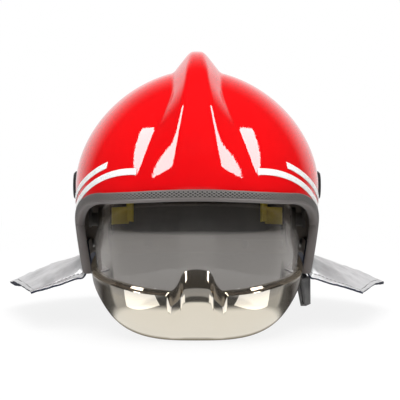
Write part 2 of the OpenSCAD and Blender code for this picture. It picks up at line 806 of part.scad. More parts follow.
// The tail leaves its anchor straight down, then swings forward to the buckle
function hang(end) =
    let (way = end + [0, 0, strap_end_gap] - strap_top)
    concat([strap_top + [0, 0, strap_tuck]],
        [for (t = [0.16, 0.36, 0.56, 0.78, 1])
            strap_top + [way[0] * pow(t, 2), way[1] * pow(t, 1.4), way[2] * t]]);
module chin_strap_right() {
    color(black) webbing(hang(socket_top), strap_w, strap_t);
}
module chin_strap_left() {
    color(black) mirror([1, 0, 0]) webbing(hang(plug_top), strap_w, strap_t);
}
// Quick-release buckle, its socket on the right and its plug on the left
socket_t = 10;
socket_slot = 5.5;
socket_rim = 2;
socket_head = 4;
plug_t = 6;
plug_head = 10;
prong_w = 3;
prong_h = 26;
module buckle_socket() {
    color(rubber_grey)
    translate(socket_top)
    difference() {
        hull() {
            translate([-socket_t / 2, -strap_w / 2 - socket_rim, -socket_head])
            cube([socket_t, strap_w + 2 * socket_rim, socket_head]);
            translate([-socket_t / 2 + 1, -strap_w / 2 + 1, -buckle_h])
            cube([socket_t - 2, strap_w - 2, socket_head]);
        }
        translate([-socket_slot / 2, -strap_w / 2 + socket_rim, -buckle_h - 1])
        cube([socket_slot, strap_w - 2 * socket_rim, buckle_h - 2 * socket_head]);
    }
}
module buckle_plug() {
    color(rubber_grey)
    mirror([1, 0, 0])
    translate(plug_top)
    union() {
        translate([-plug_t / 2, -strap_w / 2 - 1, -plug_head])
        cube([plug_t, strap_w + 2, plug_head]);
        for (y = [-1, 0, 1] * (strap_w / 2 - prong_w - 1))
            translate([-prong_w / 2, y - prong_w / 2, -prong_h])
            cube([prong_w, prong_w, prong_h - plug_head + 1]);
    }
}

// Aluminised neck cape. It is fixed inside the rim and flares out under it.
cape_start = 80;
cape_inside = -shell_wall - channel_inner_gap - channel_inner_lip - 0.5;
cape_tuck = 14;
cape_cols = 44;
cape_rows = 6;
cape_belly = 7;
hem_power = 2.3;
hem_front_reach = 150;
front_tuck = 0.25;
front_rise = 9;
hem_settle = 42;
function cape_root(az, t, off) =
    let (edge = rim_z(az) - neck_trim_nose - 1)
    shell_at(az, edge + cape_tuck * (1 - t), cape_inside + off);
function cape_hem(az) =
    let (share = smooth(((az > 180 ? 360 - az : az) - cape_start) / hem_settle))
    let (wave = cape_fold * cos(cape_folds * (az - 180)))
    let (p = plan_point(az, cape_half_w, hem_front_reach, cape_back, hem_power))
    [p[0] * (1 - front_tuck * (1 - share)), p[1], -cape_drop + front_rise * (1 - share) + wave * share];
function cape_point(az, row, off) =
    row < 2 ? cape_root(az, row, off) :
    let (t = (row - 1) / (cape_rows - 1))
    let (a = cape_root(az, 1, 0))
    let (b = cape_hem(az))
    let (spread = smooth(((az > 180 ? 360 - az : az) - cape_start) / hem_settle))
    let (belly = cape_belly * sin(180 * t) * spread * (1 + 0.5 * cos(cape_folds * (az - 180))))
    a + (b - a) * t + [0, 0, belly + off];
function cape_grid(off) = [for (row = [0:cape_rows])
    [for (az = steps(cape_start, 360 - cape_start, cape_cols)) cape_point(az, row, off)]];
module neck_cape() {
    color(silver)
    sheet(cape_grid(0), cape_grid(-cape_t));
}

// Press studs that hold the cape inside the rim
stud_azimuths = [95, 125, 155, 205, 235, 265];
stud_r = 5;
stud_lift = 6;
stud_gap = 0.4;
function shell_normal(az, z) = unit(cross(
    shell_at(az + 1, z, 0) - shell_at(az - 1, z, 0),
    shell_at(az, z + 1, 0) - shell_at(az, z - 1, 0)));
module cape_studs() {
    color(dark)
    for (az = stud_azimuths) {
        n = -shell_normal(az, rim_z(az) + stud_lift);
        translate(shell_at(az, rim_z(az) + stud_lift, cape_inside - cape_t) + n * stud_gap)
        rotate([0, acos(n[2]), atan2(n[1], n[0])])
        cylinder(h = 2, r1 = stud_r, r2 = stud_r - 1.2, $fn = 16);
    }
}

shell();
brow_trim();
neck_trim();
tape_left();
tape_right();
side_cap_left();
side_cap_right();
pivot_bracket_left();
pivot_bracket_right();
visor();
impact_liner();
crown_pad();
crown_webbing();
headband();
brow_pad();
nape_pad();
front_hanger_left();
front_hanger_right();
rear_hanger_left();
rear_hanger_right();
ratchet_housing();
ratchet_knob();
strap_anchor_left();
strap_anchor_right();
chin_strap_left();
chin_strap_right();
buckle_plug();
buckle_socket();
neck_cape();
cape_studs();
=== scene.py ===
"""Fire helmet: a crested shell, a lifting stepped visor, a head harness and a silver neck cape."""
import math
import bpy
import numpy as np
from mathutils import Matrix, Vector, noise


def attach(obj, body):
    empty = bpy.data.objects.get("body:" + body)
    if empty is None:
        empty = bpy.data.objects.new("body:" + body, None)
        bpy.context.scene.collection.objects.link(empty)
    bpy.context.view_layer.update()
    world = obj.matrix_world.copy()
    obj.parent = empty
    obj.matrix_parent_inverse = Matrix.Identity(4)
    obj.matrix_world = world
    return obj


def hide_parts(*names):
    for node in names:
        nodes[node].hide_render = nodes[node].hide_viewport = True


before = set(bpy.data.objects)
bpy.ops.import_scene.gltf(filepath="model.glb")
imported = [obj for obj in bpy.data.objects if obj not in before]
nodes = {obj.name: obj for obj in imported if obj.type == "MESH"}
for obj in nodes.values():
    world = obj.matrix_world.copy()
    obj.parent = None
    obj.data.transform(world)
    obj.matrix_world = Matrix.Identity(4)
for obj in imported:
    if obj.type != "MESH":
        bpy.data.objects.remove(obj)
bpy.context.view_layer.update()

# Studio: a pale floor under the helmet, and around it a room that only polished surfaces see,
# dim in front, with a white backdrop behind and a white table below. A long soft box slants
# over each shoulder, a small one lies low on each side, and two broad ones light the whole.
bpy.ops.object.select_all(action="DESELECT")
scene = bpy.context.scene
scene.view_settings.view_transform = "Standard"

camera_rise, camera_reach = math.radians(4), 1.4
picture_px, px_size, sensor_w = 400, 0.001046, 36
bpy.ops.object.camera_add(
    location=(0, -camera_reach * math.cos(camera_rise), camera_reach * math.sin(camera_rise)),
    rotation=(math.pi / 2 - camera_rise, 0, 0))
camera = bpy.context.object
camera.data.sensor_width = sensor_w
camera.data.lens = sensor_w * camera_reach / (picture_px * px_size)
camera.data.shift_x, camera.data.shift_y = 3 / picture_px, -17 / picture_px
scene.camera = camera

def join(tree, kind, *sources, **settings):
    """A node whose inputs are linked to sockets or nodes, or set where a plain value is given."""
    made = tree.nodes.new(kind)
    for name, value in settings.items():
        setattr(made, name, value)
    for place, source in enumerate(sources):
        if isinstance(source, bpy.types.Node):
            source = source.outputs[0]
        if hasattr(source, "is_output"):
            tree.links.new(source, made.inputs[place])
        else:
            made.inputs[place].default_value = source
    return made

def figured(tree, operation, *sources):
    """A step of arithmetic on one or two inputs."""
    return join(tree, "ShaderNodeMath", *sources, operation=operation)

def eased(tree, source, *span):
    """Goes from the third value to the fourth, as the source goes from the first to the second."""
    return join(tree, "ShaderNodeMapRange", source, *span, interpolation_type="SMOOTHSTEP")

def ramp(tree, source, *stops, blend="LINEAR"):
    """A colour ramp through its stops, each a place with a colour or with one grey tone."""
    made = join(tree, "ShaderNodeValToRGB", source)
    line = made.color_ramp
    line.interpolation = blend
    places, tones = zip(*stops)
    colours = [(*tone, 1) if isinstance(tone, tuple) else (tone, tone, tone, 1) for tone in tones]
    line.elements[0].position, line.elements[1].position = places[0], places[-1]
    line.elements[0].color, line.elements[1].color = colours[0], colours[-1]
    for at, colour in zip(places[1:-1], colours[1:-1]):
        line.elements.new(at).color = colour
    return made

def finish(name, colour, roughness, metallic=0.0, more={}):
    """A material with its main shader, ready for the nodes of its own piece."""
    material = bpy.data.materials.new(name)
    material.use_nodes = True
    shader = material.node_tree.nodes["Principled BSDF"]
    settings = {"Base Color": (*colour, 1), "Roughness": roughness, "Metallic": metallic, **more}
    for socket, value in settings.items():
        shader.inputs[socket].default_value = value
    return material, material.node_tree, shader

def straight_rays(tree):
    """The ray node, and 1 for what the camera sees directly or through the visor."""
    rays = tree.nodes.new("ShaderNodeLightPath")
    through = rays.outputs["Is Transmission Ray"]
    return rays, figured(tree, "MAXIMUM", rays.outputs["Is Camera Ray"], through)

white, floor_w, floor_z = (1, 1, 1, 1), 8, -0.1492
bpy.ops.mesh.primitive_plane_add(size=floor_w, location=(0, 0, floor_z))
floor = bpy.context.object
floor.name = "studio_floor"
floor.visible_glossy = False
floor_paint, tree, matt = finish("floor_paint", (0.9, 0.9, 0.9), 0.9)
rays, seen = straight_rays(tree)
place = tree.nodes.new("ShaderNodeTexCoord").outputs["Object"]
away = join(tree, "ShaderNodeVectorMath", place, operation="LENGTH")
faded = eased(tree, away.outputs["Value"], 0.3, 1.1, 0.86, 1.0)
paper = join(tree, "ShaderNodeEmission", white, 1.0)
lit = join(tree, "ShaderNodeMixShader", figured(tree, "MULTIPLY", seen, faded), matt, paper)
tree.links.new(lit.outputs[0], tree.nodes["Material Output"].inputs[0])
floor.data.materials.append(floor_paint)

world = bpy.data.worlds.new("white_surround")
scene.world = world
world.use_nodes = True
tree = world.node_tree
around = tree.nodes["Background"]
around.inputs["Color"].default_value = white
around.inputs["Strength"].default_value = 0.62
rays, seen = straight_rays(tree)
way = tree.nodes.new("ShaderNodeTexCoord").outputs["Generated"]
split = join(tree, "ShaderNodeSeparateXYZ", way)
height = join(tree, "ShaderNodeMapRange", split.outputs["Z"], -1.0, 1.0, 0.0, 1.0)

# The backdrop stands behind, the table lies in front and low, and a pale ground runs far back.
backdrop = ramp(tree, height, (0.36, 0.02), (0.47, 0.9), (0.62, 0.9), (0.8, 0.35), (0.94, 0.0))
behind = eased(tree, split.outputs["Y"], 0.45, 0.97, 0.0, 1.0)
far = figured(tree, "MULTIPLY", behind, backdrop)
table = ramp(tree, height, (0.076, 0.05), (0.088, 0.36), (0.43, 0.44), (0.468, 0.03), (0.47, 0.02))
ahead = eased(tree, split.outputs["Y"], 0.6, 0.44, 0.0, 1.0)
level = eased(tree, split.outputs["Z"], -0.36, -0.24, 0.0, 1.0)
near = figured(tree, "MULTIPLY", table, figured(tree, "MAXIMUM", ahead, level))
aft = figured(tree, "MULTIPLY", split.outputs["Y"], 0.45)
slope = figured(tree, "SUBTRACT", aft, split.outputs["Z"])
ground = eased(tree, slope, 0.73, 0.83, 0.05, 0.86)
room = figured(tree, "MAXIMUM", figured(tree, "MAXIMUM", far, near), ground)
mirrored = join(tree, "ShaderNodeBackground", white, room)
bright = join(tree, "ShaderNodeBackground", white, 1.0)
glossy = join(tree, "ShaderNodeMixShader", rays.outputs["Is Glossy Ray"], around, mirrored)
lit = join(tree, "ShaderNodeMixShader", seen, glossy, bright)
tree.links.new(lit.outputs[0], tree.nodes["World Output"].inputs[0])

def soft_box(name, azimuth, rise, away, wide, high, watts, lean=0):
    """A soft box aimed at the helmet. Azimuth 0 is in front, and lean turns it in its plane."""
    a, e = math.radians(azimuth), math.radians(rise)
    place = Vector((math.sin(a) * math.cos(e), -math.cos(a) * math.cos(e), math.sin(e))) * away
    bpy.ops.object.light_add(type="AREA", location=place)
    lamp = bpy.context.object
    lamp.name = name
    lamp.data.shape = "RECTANGLE"
    lamp.data.size, lamp.data.size_y = wide, high
    lamp.data.energy = watts
    aim = (-place).to_track_quat("-Z", "Y").to_matrix()
    lamp.rotation_euler = (aim @ Matrix.Rotation(math.radians(lean), 3, "Z")).to_euler()
    return lamp

hands = ((-1, "left"), (1, "right"))
for side, hand in hands:
    shoulder = soft_box(f"soft_box_{hand}", side * 52, 43, 1.45, 0.42, 1.52, 19, side * -26)
    low = soft_box(f"low_soft_box_{hand}", side * 62, -52, 0.9, 0.20, 0.62, 0.42, side * -70)
    shoulder.visible_diffuse = low.visible_diffuse = False
overhead = soft_box("soft_box_top", 0, 80, 1.6, 1.4, 1.4, 24)
front = soft_box("soft_box_front", 0, 40, 1.6, 0.9, 0.6, 9)
overhead.visible_glossy = front.visible_glossy = False

# Shell: the hard outer cap, compression-moulded and painted in a polished red clear coat. Its
# crest runs from the brow over the crown, and its walls fall to the cheeks and the nape. The
# edges are left square, because rubber trims cover them all round.
shell_half_w, shell_front, shell_back, shell_top, shell_wall = 125, 154, 142, 118, 4
dome_power, plan_power = 1.85, 2.5
cheek_drop, ear_drop, nape_drop = 86, 70, 14
crest_half_w, crest_spread, crest_foot, crest_rise, crest_axis_z = 25, 37, 3, 16, -30
crest_climb, crest_fade_from, crest_fade_over, cheek_draw = 57, 100, 72, 0.07
brow_half_w, brow_z, brow_sag, corner_r, corner_z, jamb_draw = 88, -4, 5, 29, -38, 6.5

def smooth(t):
    """Eases from 0 to 1 as t does."""
    t = np.clip(t, 0, 1)
    return t * t * (3 - 2 * t)

def plan_point(az, half_w, front, back, power):
    """Point of a rounded plan at an azimuth. 0 is in front, and 180 behind."""
    s, c = np.sin(np.radians(az)), np.cos(np.radians(az))
    reach = np.where(c > 0, front, back)
    return (half_w * np.sign(s) * np.abs(s) ** (2 / power),
            -reach * np.sign(c) * np.abs(c) ** (2 / power))

def crest_section(t, shoulder, turn):
    """Height of the crest from its middle, 0, to its foot, 1: a round top and straight flanks."""
    fine = np.linspace(0, 1, 201)
    fall = smooth((fine - shoulder) / turn) * (1 - 0.85 * smooth((fine - 0.92) / 0.08))
    total = np.cumsum(fall)
    return np.interp(t, fine, 1 - total / total[-1])

def with_crest(x, y, z, off):
    """Lifts the dome along its middle. The crest is squarer over the brow than on the crown."""
    angle = np.degrees(np.arctan2(z - crest_axis_z, -y))
    front_share = 1 - np.clip(angle, 0, 60) / 60
    half = crest_half_w + crest_spread * smooth(front_share * 1.1)
    fade = 1 - smooth((angle - crest_fade_from) / crest_fade_over)
    high = crest_foot + crest_rise * smooth((angle + 2) / crest_climb)
    t = np.minimum(np.abs(x) / (half + off * 0.7), 1)
    squared = smooth((angle - 10) / 32) * (1 - smooth((angle - 56) / 20))
    section = (1 - squared) * crest_section(t, 0.08, 0.4) + squared * crest_section(t, 0.34, 0.12)
    rise = high * fade * section * smooth((angle + 20) / 20)
    rise = np.where(angle < -20, 0, rise)
    a = np.radians(angle)
    return np.stack([x, y - rise * np.cos(a), z + rise * np.sin(a)], -1)

def narrowing(z):
    """Share of the plan that is left below the side caps, as the walls draw in."""
    return 1 - cheek_draw * (np.minimum(z, 0) / cheek_drop) ** 2

def shell_at(az, z, off):
    """Point of the shell's outer face at an azimuth and a height, off mm outside it."""
    high = shell_top + off
    dome = (1 - np.clip(z / high, 0, 1) ** dome_power) ** (1 / dome_power)
    share = np.where(z > 0, dome, narrowing(z))
    x, y = plan_point(az, shell_half_w + off, shell_front + off, shell_back + off, plan_power)
    return with_crest(x * share, y * share, z, off)

def front_az(x, z):
    """Azimuth at which the front of the shell has this x."""
    t = np.clip(np.abs(x) / ((shell_half_w - shell_wall / 2) * narrowing(z)), 0, 1)
    return np.sign(x) * np.degrees(np.arcsin(t ** (plan_power / 2)))

def rim_z(az):
    """Height of the lower edge, from the cheeks past the ears to the nape."""
    y = plan_point(az, shell_half_w, shell_front, shell_back, plan_power)[1]
    return (-ear_drop - (cheek_drop - ear_drop) * smooth((-20 - y) / 40)
            - nape_drop * smooth(y / shell_back))

def opening_edge(low, fine=1.0):
    """Edge of the face opening from the middle of the brow to the right cheek, as x and z."""
    brow = np.arange(0, brow_half_w, fine)
    turn = np.radians(np.arange(0, 90, 2 * fine))
    fall = np.arange(corner_z, low - 0.01, -1.5 * fine)
    jamb = brow_half_w + corner_r - jamb_draw * (fall - corner_z) / (-cheek_drop - corner_z)
    return (np.concatenate([brow, brow_half_w + corner_r * np.sin(turn), jamb]),
            np.concatenate([brow_z - brow_sag * (brow / brow_half_w) ** 2,
                            corner_z + corner_r * np.cos(turn), fall]))

def laid_grid(name, cols, rows, place):
    """A grid primitive laid over a surface. place(u, v) gives millimetres, v runs down."""
    bpy.ops.object.select_all(action="DESELECT")
    bpy.ops.mesh.primitive_grid_add(x_subdivisions=cols, y_subdivisions=rows, size=1)
    piece = bpy.context.object
    piece.name = piece.data.name = name
    flat = np.empty(len(piece.data.vertices) * 3)
    piece.data.vertices.foreach_get("co", flat)
    flat = flat.reshape(-1, 3)
    laid = place(flat[:, 0] + 0.5, 0.5 - flat[:, 1]) / 1000
    piece.data.vertices.foreach_set("co", laid.astype(np.float32).ravel())
    bpy.ops.object.shade_smooth()
    return piece

def seal(ends=False, outward=True):
    """Merges the seams of the active piece, closes its open ends and turns its faces outward."""
    bpy.ops.object.mode_set(mode="EDIT")
    bpy.ops.mesh.select_all(action="SELECT")
    bpy.ops.mesh.remove_doubles(threshold=0.00002)
    if ends:
        bpy.ops.mesh.fill_holes(sides=0)
        bpy.ops.mesh.select_all(action="SELECT")
    if outward:
        bpy.ops.mesh.normals_make_consistent(inside=False)
    bpy.ops.object.mode_set(mode="OBJECT")

def walled(piece, thick, side=-1, lining=0):
    """Gives a surface its wall: -1 puts it inside, 1 outside and 0 half on either side."""
    wall = piece.modifiers.new("wall", "SOLIDIFY")
    wall.thickness, wall.offset = thick, side
    wall.material_offset = wall.material_offset_rim = lining
    bpy.ops.object.modifier_apply(modifier="wall")

edge_x, edge_z = opening_edge(-cheek_drop, 0.5)
edge_az = front_az(edge_x, edge_z)

def shell_surface(u, v):
    side = np.abs(u - 0.5) * 2
    az = np.interp(side, [0, 0.25, 0.5, 0.68, 1], [0, 41, 68, 76, 180])
    low = np.where(az < edge_az[-1], np.interp(az, edge_az, edge_z), rim_z(az))
    crown = 0.66
    tau = np.pi / 2 * np.clip(1 - v / crown, 0, 1)
    dome_z = shell_top * np.sin(tau) ** (2 / dome_power)
    z = np.where(v < crown, dome_z, low * (v - crown) / (1 - crown))
    return shell_at(az * np.sign(u - 0.5), z, 0)

shell = laid_grid("outer_shell", 300, 130, shell_surface)
seal(outward=False)

def pattern(tree, kind, source, scale, detail=2.0, **settings):
    """A texture on the given coordinates."""
    made = join(tree, f"ShaderNodeTex{kind}", source, **settings)
    made.inputs["Scale"].default_value = scale
    made.inputs["Detail"].default_value = detail
    return made

def bumped(tree, height, strength, distance, into=None, under=None):
    """Relief from a height, over the relief under it, led into a socket of the shader."""
    bump = tree.nodes.new("ShaderNodeBump")
    bump.inputs["Strength"].default_value = strength
    bump.inputs["Distance"].default_value = distance
    tree.links.new(height, bump.inputs["Height"])
    if under is not None:
        tree.links.new(under.outputs["Normal"], bump.inputs["Normal"])
    if into is not None:
        tree.links.new(bump.outputs["Normal"], into)
    return bump

def ripple(tree, shader, scale, strength, distance, socket="Normal"):
    """Fine unevenness of the surface, from noise on the object's own coordinates."""
    place = tree.nodes.new("ShaderNodeTexCoord").outputs["Object"]
    grain = pattern(tree, "Noise", place, scale)
    bumped(tree, grain.outputs["Fac"], strength, distance, shader.inputs[socket])
    return place

def mottle(tree, shader, place, scale, dark, light, socket="Base Color"):
    """Slow change of colour over the piece, between two tones."""
    cloud = pattern(tree, "Noise", place, scale, 3)
    tones = ramp(tree, cloud.outputs["Fac"], (0.35, dark), (0.65, light))
    tree.links.new(tones.outputs["Color"], shader.inputs[socket])

red_paint, tree, shader = finish("polished_red_clear_coat", (0.68, 0.001, 0.003), 0.36, more={
    "Specular IOR Level": 0.0, "Coat Weight": 1, "Coat IOR": 1.8, "Coat Roughness": 0.035})
place = ripple(tree, shader, 420, 0.08, 0.0004, "Coat Normal")
mottle(tree, shader, place, 9, (0.65, 0.001, 0.003), (0.72, 0.002, 0.004))
bare_wall, tree, shader = finish("unpainted_shell_inside", (0.26, 0.22, 0.185), 0.6)
ripple(tree, shader, 260, 0.4, 0.0006)
shell.data.materials.append(red_paint)
shell.data.materials.append(bare_wall)
walled(shell, shell_wall / 1000, lining=1)
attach(shell, "helmet")
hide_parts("shell")

# Edge trims: extruded rubber channels pressed over the edge of the shell, one round the face
# opening and a slimmer one round the ears and the nape. The upper band of the face trim has a
# woven hatch moulded into it, and its nose is smooth.
def channel_profile(lip, nose, grip):
    """Section of a channel, from inside the slot over the outer lip and the nose and back."""
    slot, inside = shell_wall / 2 + 0.5, shell_wall / 2 + 0.9
    face, back = slot + lip, inside + 1.2
    return np.array([
        (-grip, slot), (-grip + 0.1, face - 0.7), (-grip + 0.9, face - 0.1), (-grip + 2, face),
        (nose - 5.8, face + 0.05), (nose - 4.6, face + 0.05), (nose - 4.3, face - 0.35),
        (nose - 3.7, face - 0.35), (nose - 3.4, face + 0.1), (nose - 2.6, face),
        (nose - 1.4, face - 0.5), (nose - 0.45, face * 0.55), (nose - 0.05, face * 0.2),
        (nose - 0.05, -back * 0.2), (nose - 0.5, -back * 0.6), (nose - 1.4, -back + 0.2),
        (nose - 2.2, -back), (-grip + 0.5, -back), (-grip, -back + 0.5), (-grip, -inside),
        (0.6, -inside), (0.6, slot), (-grip, slot)], float)

def run_along(points):
    """Length along a line of points, from its start to each of them."""
    return np.concatenate([[0], np.cumsum(np.linalg.norm(np.diff(points, axis=0), axis=1))])

def metre_map(piece, long, wide, from_top=False):
    """Scales a piece's own map to its length and width in millimetres, written in metres."""
    drawn = piece.data.uv_layers.active.data
    flat = np.empty(len(drawn) * 2)
    drawn.foreach_get("uv", flat)
    flat = flat.reshape(-1, 2)
    if from_top:
        flat[:, 1] = 1 - flat[:, 1]
    drawn.foreach_set("uv", (flat * (long / 1000, wide / 1000)).ravel())

def channel_on_edge(name, az, z, profile):
    """Sweeps a channel along an edge of the shell, given by its azimuths and heights."""
    daz, dz = np.gradient(az), np.gradient(z)
    pitch = np.linalg.norm(shell_at(az + 0.5, z, 0) - shell_at(az - 0.5, z, 0), axis=-1)
    along = np.stack([daz * pitch, dz], -1)
    along /= np.linalg.norm(along, axis=-1, keepdims=True)
    run, lengths = run_along(shell_at(az, z, 0)), run_along(profile)
    def surface(u, v):
        at = u * run[-1]
        a, b, p = (np.interp(at, run, values) for values in (az, z, pitch))
        ax, ay = (np.interp(at, run, along[:, k]) for k in (0, 1))
        s, t = (np.interp(v * lengths[-1], lengths, profile[:, k]) for k in (0, 1))
        return shell_at(a + ay * s / p, b - ax * s, t - shell_wall / 2)
    piece = laid_grid(name, len(az) - 1, 46, surface)
    metre_map(piece, run[-1], lengths[-1], from_top=True)
    seal(ends=True)
    bpy.ops.object.shade_smooth_by_angle(angle=math.radians(38))
    return piece

trim_x, trim_z = opening_edge(-cheek_drop - 2, 0.8)
trim_az = front_az(trim_x, trim_z)
brow_trim = channel_on_edge("brow_trim_rubber", np.concatenate([-trim_az[::-1], trim_az[1:]]),
    np.concatenate([trim_z[::-1], trim_z[1:]]), channel_profile(2.5, 3, 8))

hatched_rubber, tree, shader = finish("hatched_trim_rubber", (0.05, 0.047, 0.046), 0.42,
    more={"Specular IOR Level": 0.35})
drawn = tree.nodes.new("ShaderNodeUVMap").outputs["UV"]
split = join(tree, "ShaderNodeSeparateXYZ", drawn)
slants = []
for turn in (58, -58):
    lean = join(tree, "ShaderNodeMapping", drawn)
    lean.inputs["Rotation"].default_value = (0, 0, math.radians(turn))
    slants.append(pattern(tree, "Wave", lean, 140).outputs["Fac"])
woven = figured(tree, "MAXIMUM", *slants)
span = join(tree, "ShaderNodeMapRange", split.outputs["Y"], 0.0, 0.0087)
zone = ramp(tree, span, (0, 0), (0.33, 1), (0.95, 0), blend="CONSTANT")
masked = figured(tree, "MULTIPLY", woven, zone)
bumped(tree, masked.outputs[0], 0.7, 0.0006, shader.inputs["Normal"])
tones = ramp(tree, woven, (0.62, (0.010, 0.009, 0.008)), (0.97, (0.18, 0.168, 0.16)))
parted = join(tree, "ShaderNodeMixRGB", zone, (0.125, 0.112, 0.108, 1), tones)
tree.links.new(parted.outputs["Color"], shader.inputs["Base Color"])
brow_trim.data.materials.append(hatched_rubber)
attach(brow_trim, "helmet")
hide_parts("brow_trim")

def moulded(name, colour, roughness, grain, cloud, metallic=0.0, socket="Base Color"):
    """A plain finish: the grain's scale, strength and depth, and the mottle's scale and tones."""
    material, tree, shader = finish(name, colour, roughness, metallic)
    mottle(tree, shader, ripple(tree, shader, *grain), *cloud, socket)
    return material

round_az = np.linspace(80, 280, 161)
neck_trim = channel_on_edge("neck_trim_rubber", round_az, rim_z(round_az % 360),
    channel_profile(1.8, 2, 8))
neck_trim.data.materials.append(moulded("smooth_trim_rubber", (0.07, 0.067, 0.067), 0.5,
    (900, 0.25, 0.0003), (30, (0.06, 0.057, 0.057), (0.09, 0.085, 0.085))))
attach(neck_trim, "helmet")
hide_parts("neck_trim")

# Reflective tape: two stripes of white prismatic sheeting on each side, cut square and pressed
# on by hand. They start over the corner of the brow and run down and back over the ears.
tape_start, upper_start, tape_level, tape_end = 22.6, 40.6, 96, 118
tape_w, tape_pitch, tape_thick, tape_top, tape_fall = 6, 11, 0.45, 20.5, 53

def tape_z(az):
    """Height of the lower stripe's middle. It falls from its start until it runs level."""
    t = np.clip((az - tape_start) / (tape_level - tape_start), 0, 1)
    return tape_top - tape_fall * smooth(t ** 1.1)

white_tape, tree, shader = finish("prismatic_white_tape", (0.84, 0.84, 0.83), 0.38,
    more={"Coat Weight": 0.35})
place = tree.nodes.new("ShaderNodeTexCoord").outputs["Object"]
cells = pattern(tree, "Voronoi", place, 520, 0, feature="DISTANCE_TO_EDGE").outputs["Distance"]
edges = ramp(tree, cells, (0, (0.62, 0.62, 0.61)), (0.12, (0.86, 0.86, 0.85)))
tree.links.new(edges.outputs["Color"], shader.inputs["Base Color"])
bumped(tree, cells, 0.15, 0.0002, shader.inputs["Normal"])

for side, hand in hands:
    for level, start, lift in (("low", tape_start, 0), ("high", upper_start, tape_pitch)):
        def stripe_surface(u, v):
            turn = u if side > 0 else 1 - u
            az = start + (tape_end - start) * turn
            return shell_at(side * az, tape_z(az) + lift + tape_w * (0.5 - v), 0.18)
        stripe = laid_grid(f"tape_{hand}_{level}", 110, 6, stripe_surface)
        walled(stripe, tape_thick / 1000, side=1)
        stripe.data.materials.append(white_tape)
        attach(stripe, "helmet")
        if level == "low":
            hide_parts(f"tape_{hand}")

# Visor: one moulded polycarbonate pane that turns about a pin on each side. A step runs round
# it, rises over the nose and bends back down, and the band under the step stands proud. The
# pane carries a smoky gold coat, which is thicker on the band.
pivot_z, visor_r, visor_half_w, visor_power = -38, 141.5, 101.5, 3.1
visor_wall, step_r, step_w = 2.5, 5.5, 5.4
top_angle, step_angle, lip_angle = 16, -23.5, -48.5
shelf_start, band_start = 0.36, 0.54
nose_w, nose_angle, ear_angle = 33, 18.97, 89.6

def soft_steps(x, points):
    """Reads a table of turning points, with its corners rounded off."""
    fine = np.linspace(-4, 40, 441)
    known = np.interp(fine, *zip(*points))
    weights = np.exp(-0.5 * (np.arange(-24, 25) / 8) ** 2)
    padded = np.concatenate([np.full(24, known[0]), known, np.full(24, known[-1])])
    return np.interp(x, fine, np.convolve(padded, weights / weights.sum(), "valid"))

def reach(q):
    """Share of the radius that is left at q, which is 0 in the middle and 1 at the ear."""
    return np.maximum(1 - np.abs(q) ** visor_power, 0) ** (1 / visor_power)

def step_line(q):
    """Run of the step beside the nose, as an angle. It bends down towards the ears."""
    return np.maximum(step_angle - 22 * ((1 - reach(q)) / 0.57) ** 2, lip_angle + 2.5)

def upper_line(q):
    """Top of the step, as an angle about the pins. It arches over the nose."""
    return step_line(q) + soft_steps(np.abs(q) * visor_half_w,
        [(0, 9.4), (4, 9.3), (8, 9.0), (10.5, 8.6), (12.6, 8.0), (14.4, 7.1), (15.6, 6.1),
        (16.4, 4.9), (18, 3.3), (20, 1.9), (22, 0.8), (24, 0.1), (25, 0), (40, 0)])

def lower_line(q):
    """Foot of the step, which dips into a notch on each side of the nose."""
    foot = soft_steps(np.abs(q) * visor_half_w,
        [(0, 4.6), (4, 4.5), (8, 4.3), (10.5, 4.0), (11.8, 3.6), (12.6, 2.6), (13.5, 1.3),
        (14.4, 0), (16.5, -1.6), (20, -3.1), (22.5, -4.3), (23.6, -4.9), (24.4, -4.4),
        (25.4, -2.8), (26.4, -1.0), (27.4, -0.1), (28.5, 0), (40, 0)])
    return np.minimum(step_line(q) + foot, upper_line(q)) - 0.95

def visor_at(q, angle, share):
    """Point of the pane. share is 0 above the step and 1 on the band, which stands proud."""
    k = share * smooth((reach(q) - 0.27) / 0.15)
    window = smooth((reach(q) - 0.15) / 0.25) - smooth((reach(q) - 0.5) / 0.3)
    flare = 3.4 * smooth(-angle / 20) * window
    taper = 0.06 * smooth(angle / top_angle) * smooth(reach(q) / 0.6)
    a = np.radians(angle)
    r = reach(q) * (visor_r + k * step_r)
    return np.stack([q * ((1 - taper) * (visor_half_w + k * step_w) + flare),
        -r * np.cos(a), pivot_z + r * np.sin(a)], -1)

def visor_surface(u, v):
    side = np.abs(u - 0.5) * 2
    q = np.sign(u - 0.5) * np.interp(side, [0, 0.34, 1], [0, nose_w, 90])
    wing = np.interp(np.abs(q), [nose_w, 90], [nose_angle, ear_angle])
    q = np.where(np.abs(q) <= nose_w, q / visor_half_w, np.sign(q) * np.sin(np.radians(wing)))
    top, low = upper_line(q), lower_line(q)
    shelf_share = np.clip((v - shelf_start) / (band_start - shelf_start), 0, 1)
    upper = top_angle + (top - top_angle) * np.clip(v / shelf_start, 0, 1)
    lower = low + (lip_angle - low) * np.clip((v - band_start) / (1 - band_start), 0, 1)
    angle = np.where(v < band_start, top + (low - top) * shelf_share, lower)
    angle = np.where(v < shelf_start, upper, angle)
    across = np.abs(q) * visor_half_w
    bulge = 0.3 * smooth((27.5 - across) / 5) * (1 - smooth((v - 0.62) / 0.2))
    dome = np.sqrt(np.maximum(1 - (across / 14.8) ** 2, 0))
    bulge += 0.6 * dome * (1 - smooth((v - 0.58) / 0.3))
    return visor_at(q, angle, shelf_share * (1 + bulge))

visor = laid_grid("visor_pane", 320, 150, visor_surface)
walled(visor, visor_wall / 1000)
bpy.ops.object.shade_smooth_by_angle(angle=math.radians(30))

